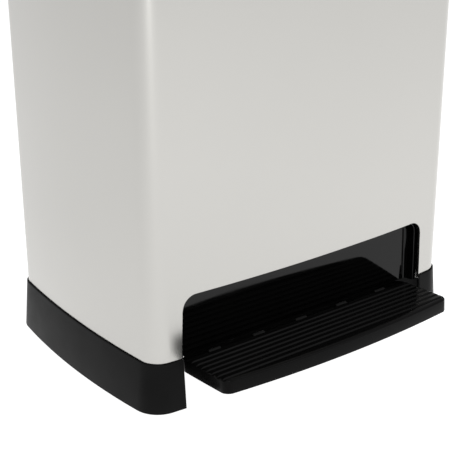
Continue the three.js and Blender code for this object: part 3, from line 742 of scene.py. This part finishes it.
def tread_grooves():
    """What is cut from the solid tread: the grooves between its ribs and the open middle of its back wall."""
    floor = TREAD_TOP - RIB_HEIGHT
    past = TREAD_HALF + 2
    cuts = Solids()

    def groove(y0, y1):
        cuts.box(-past, past, y0, y1, floor, TREAD_TOP + 1)

    front_rib = REAR_RIB_Y - (RIB_COUNT - 1) * RIB_PITCH - RIB_WIDTH / 2
    line = [(x, LIP_BACK - LIP_BOW * (1 - (x / past) ** 2)) for x in spread(-past, past, 24)]
    line += [(past, front_rib), (-past, front_rib)]
    cuts.loft([at_height(line, floor), at_height(line, TREAD_TOP + 1)])
    for rib in range(1, RIB_COUNT):
        start = REAR_RIB_Y - rib * RIB_PITCH + RIB_WIDTH / 2
        groove(start, start + RIB_PITCH - RIB_WIDTH)
    groove(REAR_RIB_Y + RIB_WIDTH / 2, TREAD_BACK + 2)
    gap_half = 130
    cuts.box(-gap_half, gap_half, TREAD_BACK - 6, TREAD_BACK + 3, TREAD_UNDER - 1, floor - TREAD_SKIN)
    return on_lever(cuts, "grooves")


def pedal_tread():
    """A hollow moulding: rounded edges, a smooth front lip, long ribs behind it, and tabs along the back."""
    floor = TREAD_TOP - RIB_HEIGHT
    edge = 2.6
    edge_stretch = 2.3
    # (how far out, height), from the hollow's ceiling round the lower edge of the wall.
    wall = [(-2.6, floor - TREAD_SKIN), (-2.4, TREAD_UNDER + 0.6), (-1.9, TREAD_UNDER), (-0.9, TREAD_UNDER)]
    wall += [(-0.25, TREAD_UNDER + 0.25), (0.0, TREAD_UNDER + 1.0)]
    wall += [(-edge_stretch * inwards, TREAD_TOP - edge + up) for inwards, up in quarter(edge, 9)]
    solids = Solids()
    solids.loft([tread_ring(out, z) for out, z in wall])
    piece = subtract(on_lever(solids, "tread"), tread_grooves())
    soften(piece, 0.3)
    place(piece, "pedal", "pedal_black", PEDAL_BLACK, "pedal_tread")

    tabs = Solids()
    back = TAB_FRONT + 3
    for step in range(-2, 3):
        x = step * TAB_PITCH
        rings = []
        for inset, slope, z in ((0.0, 0.0, floor - 1), (0.0, 0.0, floor + 0.1), (0.6, 1.7, TREAD_TOP - 0.5)):
            low, high, front = x - TAB_HALF + inset, x + TAB_HALF - inset, TAB_FRONT + slope
            rings.append([(low, front, z), (high, front, z), (high, back, z), (low, back, z)])
        tabs.loft(rings)
    place(soften(on_lever(tabs, "tread_tabs"), 0.2, angle=25.0), "pedal", "pedal_black", TAB_BLACK)

    ties = Solids()
    for x in (-125, -60, 0, 60, 125):
        ties.box(x - 1, x + 1, TREAD_FRONT - 2, TREAD_BACK - 1, TREAD_UNDER + 0.5, floor - 1)
    place(soften(on_lever(ties, "tread_ties"), 0.3), "pedal", "pedal_black", PEDAL_BLACK)


# ---------------------------------------------------------------- lid and collar

# The level of the collar's top: its hinge strip stands higher than that.
COLLAR_TOP = shell_high.z + 4.0
LID_EDGE_TOP = 637.0
LID_SHOULDER = 9.0
LID_BACK = HINGE.y - 8.3
EAR_X = 110.0
EAR_RADIUS = 6.3
EAR_NOTCH_HALF = 10.5
EAR_SLOT_HALF = 11
STRIP_RADIUS = 7.3


def clipped(points, back):
    """The part of a ring that lies in front of y = back, with the rest laid flat against it."""
    return [(x, min(y, back)) for x, y in points]


def domed(points, share):
    """A ring drawn in to a share of its size, and rounder the further in it is."""
    half_x = max(x for x, _ in points)
    half_y = max(y for _, y in points)
    ring = []
    for x, y in points:
        angle = math.atan2(y / half_y, x / half_x)
        round_x, round_y = half_x * math.cos(angle), half_y * math.sin(angle)
        ring.append((share * (round_x + (x - round_x) * share), share * (round_y + (y - round_y) * share)))
    return ring


def lid_skin():
    """The crowned steel lid: upright sides with a rolled lower edge, a round shoulder and a low dome."""
    bottom = lid_low.z
    rings = [
        at_height(clipped(outline(BODY, 0.2), LID_BACK), bottom + 1.4),
        at_height(clipped(outline(BODY, 0.25), LID_BACK), bottom + 0.3),
        at_height(clipped(outline(BODY, 0.6), LID_BACK), bottom),
        at_height(clipped(outline(BODY, 0.95), LID_BACK), bottom + 0.3),
        at_height(clipped(outline(BODY, 1.0), LID_BACK), bottom + 1.4),
    ]
    # The shoulder's last step is left out, so that it runs on into the dome's slope.
    for inwards, up in quarter(LID_SHOULDER, 10)[:-1]:
        edge = outline(BODY, 1 - inwards)
        edge_z = LID_EDGE_TOP - LID_SHOULDER + up
        rings.append(at_height(clipped(edge, LID_BACK), edge_z))
    dome_rings = 20
    for ring in range(1, dome_rings + 1):
        share = 1 - ring / (dome_rings + 0.4)
        rise = (lid_high.z - edge_z) * (1 - share**2)
        rings.append(at_height(clipped(domed(edge, share), LID_BACK), edge_z + rise))
    solid, hollow, notches = Solids(), Solids(), Solids()
    solid.loft(rings)
    hollow.loft([
        at_height(clipped(outline(BODY, 0.2), LID_BACK - SHEET), bottom - 1),
        at_height(clipped(outline(BODY, 0.2), LID_BACK - SHEET), LID_EDGE_TOP - LID_SHOULDER),
        at_height(clipped(outline(BODY, -LID_SHOULDER), LID_BACK - SHEET), LID_EDGE_TOP - 1.2),
    ])
    for x in (-EAR_X, EAR_X):
        left, right = x - EAR_NOTCH_HALF, x + EAR_NOTCH_HALF
        notches.box(left, right, LID_BACK - 5, LID_BACK + 5, bottom - 5, HINGE.z + EAR_RADIUS + 1)
    piece = subtract(solid.made("lid_dome", sharp=50.0), hollow.made("lid_hollow"))
    piece = subtract(piece, notches.made("notches"))
    return place(soften(piece, 0.5), "lid", "lid_steel", LID_STEEL, "lid_skin")


def collar_strip(front):
    """The rounded strip along the back that holds the hinge, with slots for the lid's ears."""
    half = 198.0
    strip, slots = Solids(), Solids()

    def crest(y):
        return HINGE.z + math.sqrt(max(0.0, STRIP_RADIUS**2 - max(0.0, HINGE.y - y) ** 2))

    rings = []
    for x in spread(-half, half, 110):
        back = BODY.back_y(x, 1.2)
        end = max(back, front + 0.1)
        ring = [(x, front, COLLAR_TOP - 1)]
        ring += [(x, y, crest(y)) for y in spread(front, min(HINGE.y, back), 8)]
        ring += [(x, end, crest(back)), (x, end, COLLAR_TOP - 1)]
        rings.append(ring)
    strip.loft(rings)
    for x in (-EAR_X, EAR_X):
        left, right = x - EAR_SLOT_HALF, x + EAR_SLOT_HALF
        slots.box(left, right, front - 5, HINGE.y + 7.5, COLLAR_TOP + 0.7, HINGE.z + STRIP_RADIUS + 5)
    return subtract(strip.made("strip"), slots.made("slots"))


def top_collar():
    """A moulded channel that caps the steel, with a deck and the hinge's strip across the back."""
    top = COLLAR_TOP
    steel_top = shell_high.z + GAP
    profile = [(1.5, top - 14), (1.5, top - 1.2)]
    profile += [(1.5 - inwards, top - 1.2 + up) for inwards, up in quarter(1.2, 4)[1:]]
    profile += [(-8.2, top), (-8.75, top - 0.25), (-9.0, top - 0.8), (-9.0, top - 12), (-7.0, top - 12)]
    profile += [(-7.0, top - 2.5), (-3.0, top - 2.5), (-3.0, top - 9), (-0.9, top - 9)]
    profile += [(-0.9, steel_top), (GAP, steel_top), (GAP, top - 14)]
    solids = Solids()
    solids.loft([at_height(outline(BODY, offset), z) for offset, z in profile], closed_loop=True)
    rim = soften(solids.made("collar_rim", sharp=35.0), 0.25)
    place(rim, "bin", "collar_black", COLLAR_BLACK, "top_collar")

    strip_front = HINGE.y - STRIP_RADIUS
    place(soften(collar_strip(strip_front), 0.5), "bin", "collar_black", COLLAR_BLACK)

    # The deck between the bucket and the strip, with a hatch for the lift rod.
    deck_half = 186
    hatch_half, hatch_front = 11, middle_of("lift_rod")[1] - 9.5
    near = bucket_high.y - MID_Y + 1.5
    deck, hatch = Solids(), Solids()
    sections = []
    for x in spread(-deck_half, deck_half, 60):
        far = BODY.back_y(x) - 1
        sections.append([(x, near, top - 2.5), (x, far, top - 2.5), (x, far, top), (x, near, top)])
    deck.loft(sections)
    hatch.box(-hatch_half, hatch_half, hatch_front, strip_front - 0.5, top - 5, top + 1)
    holed = subtract(deck.made("collar_deck"), hatch.made("hatch"))
    place(soften(holed, 0.3), "bin", "collar_black", COLLAR_BLACK)


# ---------------------------------------------------------------- bucket

BUCKET = Plan(
    half_x=184.5,
    front=119.5,
    back=bucket_high.y - MID_Y - 3.7,
    bow_x=7.5,
    bow_front=10.0,
    bow_back=0.5,
    radius=18.0,
)


def inner_bucket():
    """The lift-out bucket: a tapered tub with a rolled rim, and a step in front that clears the recess."""
    taper = 4.0
    wall = 2.0
    top = bucket_high.z
    floor = bucket_low.z
    step_top = 129.0
    step_y = -114.5

    def tub(inset, low, high):
        floor_radius = 3
        rings = []
        for inwards, up in quarter(floor_radius, 4):
            rings.append(at_height(outline(BUCKET, -taper - inset - floor_radius + up), low + inwards))
        rings.append(at_height(outline(BUCKET, -inset), high))
        solid, step = Solids(), Solids()
        solid.loft(rings)
        step.box(-250, 250, -200, step_y + inset, 0, step_top + inset)
        return subtract(solid.made("tub", sharp=50.0), step.made("step"))

    piece = subtract(tub(0, floor, top - 1), tub(wall, floor + wall, top + 5))
    place(soften(piece, 0.6), "bin", "bucket_grey", BUCKET_GREY, "inner_bucket")
    rim = Solids()
    profile = [(3.2, top - 6), (3.2, top - 1)] + [(3.2 - i, top - 1 + u) for i, u in quarter(1.0, 4)[1:]]
    profile += [(-1.4, top), (-wall, top - 0.6), (-wall, top - 3), (1.4, top - 3), (1.4, top - 6)]
    rim.loft([at_height(outline(BUCKET, offset), z) for offset, z in profile], closed_loop=True)
    place(rim.made("bucket_rim", sharp=35.0), "bin", "bucket_grey", BUCKET_GREY)


# ---------------------------------------------------------------- screws and rubber

SCREW_HEAD = 1.9
TREAD_SCREWS = [(side * 102.5, y) for side in (-1, 1) for y in (-150, -115)]


def screw(name, shank, body, seat, build=Solids.made):
    """A pan-head screw that points up from its seat, with a cross recess in its head."""
    x, y, z = seat
    dome = [(0.0, -SCREW_HEAD), (1.4, -1.84), (2.3, -1.65), (2.9, -1.3), (3.25, -0.85)]
    side = [(3.4, -0.4), (3.4, 0.0)]
    solids = Solids()
    solids.turned(dome + side + [(1.5, 0.0), (1.5, shank), (0.0, shank)], x, y, z, sides=28)
    head = build(solids, name + "_head", sharp=45.0)
    long, short = 1.7, 0.32
    for half_x, half_y in ((long, short), (short, long)):
        slot = Solids()
        slot.box(x - half_x, x + half_x, y - half_y, y + half_y, z - 3.0, z - 0.9)
        head = subtract(head, build(slot, "slot"))
    return place(head, body, "mechanism_steel", MECHANISM_STEEL, name)


def screws():
    """The screws in the base, which are upright, and the four in the tread, which tilt with it."""
    for name in frame["nodes"]:
        if name.startswith(("bracket_screw", "housing_screw")):
            low, high = node_box(name)
            seat = low.z + SCREW_HEAD
            screw(name, high.z - seat, "bin", (*middle_of(name), seat))
    lever_skin = 2
    lever_top = TREAD_TOP - TREAD_SKIN - RIB_HEIGHT - GAP
    for number, (x, y) in enumerate(TREAD_SCREWS, 1):
        screw(f"tread_screw_{number}", 4, "pedal", (x, y, lever_top - lever_skin - GAP), on_lever)


def rubber_foot(name):
    """A pad with a rounded edge and three anti-slip rings under it, and its stem."""
    solids = Solids()
    sole = [(0.0, 0.5), (2.0, 0.5), (2.3, 0.0), (3.7, 0.0), (4.0, 0.5)]
    sole += [(5.5, 0.5), (5.8, 0.0), (7.2, 0.0), (7.5, 0.5)]
    side = [(8.3, 0.5), (8.6, 0.0), (9.5, 0.0), (10.1, 0.2), (10.45, 0.9), (10.5, 4.4), (10.2, 5.0)]
    solids.turned(sole + side + [(4.0, 5.0), (3.5, 15.0), (0.0, 15.0)], *middle_of(name))
    return place(solids.made(name + "_pad", sharp=30.0), "bin", "foot_rubber", FOOT_RUBBER, name)


# ---------------------------------------------------------------- the other nodes


def keep_cad(name, material):
    """A CAD node whose shape is right: it stays, with rounded edges and its material."""
    piece = frame["nodes"][name]
    piece.data.materials.clear()
    piece.data.materials.append(material)
    soften(piece, 0.35)


def carried_over():
    """Every CAD node that no piece stands for."""
    finishes = {
        "base_black": BASE_BLACK,
        "collar_black": COLLAR_BLACK,
        "mechanism_grey": MECHANISM_GREY,
        "mechanism_steel": MECHANISM_STEEL,
        "foot_rubber": FOOT_RUBBER,
    }
    slots = {row["node"]: row["material_slot"] for row in frame["record"]["subparts"]}
    for name, piece in frame["nodes"].items():
        if not piece.hide_render:
            keep_cad(name, finishes[slots[name]])


# ---------------------------------------------------------------- stage


def floor_glow(paper):
    """Painted glow: the floor gives off light of its own, though it is no lamp, which lifts the shade under the
    bin to white. It glows most by the bin, less far away and to its left rear.
    """
    across = paper.maths("DOT_PRODUCT", paper.coordinates.outputs["Object"], (0.7, -0.7, 0.0))
    away = paper.maths("LENGTH", paper.coordinates.outputs["Object"])
    # Painted light: the glow is brighter to the front right and dimmer to the left rear and further away.
    by_side = paper.mapped(across, (-0.6, 0.6), (0.90, 1.07))
    by_distance = paper.mapped(away, (0.3, 1.8), (1.0, 0.86))
    return paper.product(by_side, by_distance)


def stage():
    """A grey floor that glows pale with painted light, under a plain pale sky."""
    floor_mesh = bpy.data.meshes.new("floor")
    half = 6.0
    corners = [(-half, -half, 0), (half, -half, 0), (half, half, 0), (-half, half, 0)]
    floor_mesh.from_pydata(corners, [], [(0, 1, 2, 3)])
    floor = bpy.data.objects.new("floor", floor_mesh)
    bpy.context.scene.collection.objects.link(floor)
    paper = Nodes("glowing_floor_paper")
    paper.link(paper.ramp(paper.noise(3.0), 0.34, 0.36), "Base Color")
    # A grey base under a white painted glow: the glow, not the base colour, makes the floor look pale.
    paper.set(Roughness=0.9, Emission_Color=(1, 1, 1, 1))
    paper.link(floor_glow(paper), "Emission Strength")
    floor_mesh.materials.append(paper.material)

    world = bpy.data.worlds.new("studio")
    world.use_nodes = True
    world.node_tree.nodes["Background"].inputs["Color"].default_value = (1, 1, 1, 1)
    world.node_tree.nodes["Background"].inputs["Strength"].default_value = 0.72
    bpy.context.scene.world = world
    bpy.context.scene.view_settings.view_transform = "Standard"


def softbox(name, place_at, aim, size, power):
    """A rectangular light at a place, in metres, that shines at aim."""
    light = bpy.data.lights.new(name, "AREA")
    light.shape = "RECTANGLE"
    light.size, light.size_y = size
    light.energy = power
    lamp = bpy.data.objects.new(name, light)
    lamp.location = place_at
    lamp.rotation_mode = "QUATERNION"
    lamp.rotation_quaternion = (Vector(aim) - Vector(place_at)).to_track_quat("-Z", "Y")
    bpy.context.scene.collection.objects.link(lamp)


def lights():
    """Four softboxes: a tall narrow one for the steel's near corner, and three broad ones."""
    middle = (0, 0, 0.3)
    softbox("corner", (-1.6, -2.5, 1.0), middle, (0.5, 1.2), 26)
    softbox("key", (1.6, -2.2, 2.6), middle, (2.0, 2.0), 16)
    softbox("fill", (-2.6, -1.2, 1.8), middle, (1.8, 1.8), 10)
    softbox("top", (0, 0.2, 3.0), middle, (3.0, 3.0), 14)


def camera():
    """The camera looks down at the lower part of the bin from its front left."""
    data = bpy.data.cameras.new("camera")
    data.lens = 96.3
    data.sensor_width = 36.0
    data.clip_start = 0.05
    eye = bpy.data.objects.new("camera", data)
    bpy.context.scene.collection.objects.link(eye)
    azimuth, elevation, roll = math.radians(36.775), math.radians(23.026), math.radians(-0.208)
    level = math.cos(elevation)
    away = Vector((-math.sin(azimuth) * level, -math.cos(azimuth) * level, math.sin(elevation)))
    eye.location = Vector((-768.8, -1024.8 + MID_Y, 652.4)) * MM
    eye.rotation_mode = "QUATERNION"
    turn = (-away).to_track_quat("-Z", "Y")
    eye.rotation_quaternion = turn @ Matrix.Rotation(roll, 3, "Z").to_quaternion()
    bpy.context.scene.camera = eye


camera()
stage()
lights()
body_shell()
rear_seam()
base()
pedal_housing()
pedal_tread()
lid_skin()
top_collar()
inner_bucket()
screws()
for foot in FEET:
    rubber_foot(foot)
carried_over()
